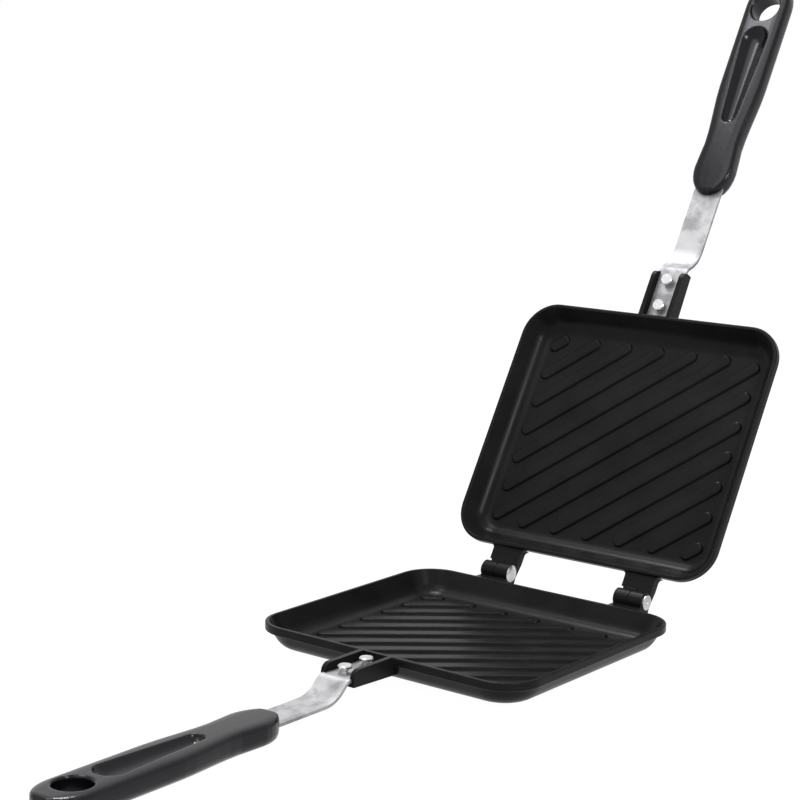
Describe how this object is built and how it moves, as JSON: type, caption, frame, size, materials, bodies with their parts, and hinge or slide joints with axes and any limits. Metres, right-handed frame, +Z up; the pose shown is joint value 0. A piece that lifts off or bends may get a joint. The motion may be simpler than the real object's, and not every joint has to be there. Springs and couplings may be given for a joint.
{
  "type": "pie iron",
  "caption": "Hinged double-sided pie iron with ribbed rectangular trays, steel shanks and long moulded handles with hanging holes.",
  "frame": {"origin": "middle of the lower tray's flat underside, where the iron rests", "axes": "+X along the hinge, +Y from the handles towards the hinge, +Z up out of the lower tray"},
  "size_m": [0.145, 0.5207, 0.3054],
  "materials": {
    "coated_casting": "satin black non-stick coating on cast aluminium",
    "shank_steel": "pressed steel strip, satin",
    "handle_plastic": "semi-gloss black phenolic moulding",
    "rivet_steel": "bright steel"
  },
  "bodies": {
    "lower_half": {"lower_pan": "coated_casting", "lower_shank": "shank_steel", "lower_handle": "handle_plastic", "lower_inner_rivet": "rivet_steel", "lower_outer_rivet": "rivet_steel", "left_hinge_pin": "rivet_steel", "right_hinge_pin": "rivet_steel"},
    "upper_half": {"upper_pan": "coated_casting", "upper_shank": "shank_steel", "upper_handle": "handle_plastic", "upper_inner_rivet": "rivet_steel", "upper_outer_rivet": "rivet_steel"}
  },
  "joints": [
    {"name": "hinge", "type": "hinge", "parent": "lower_half", "child": "upper_half", "pos_m": [0, 0.0778, 0.01245], "axis": [1, 0, 0], "range_deg": [0, 120.8]}
  ]
}
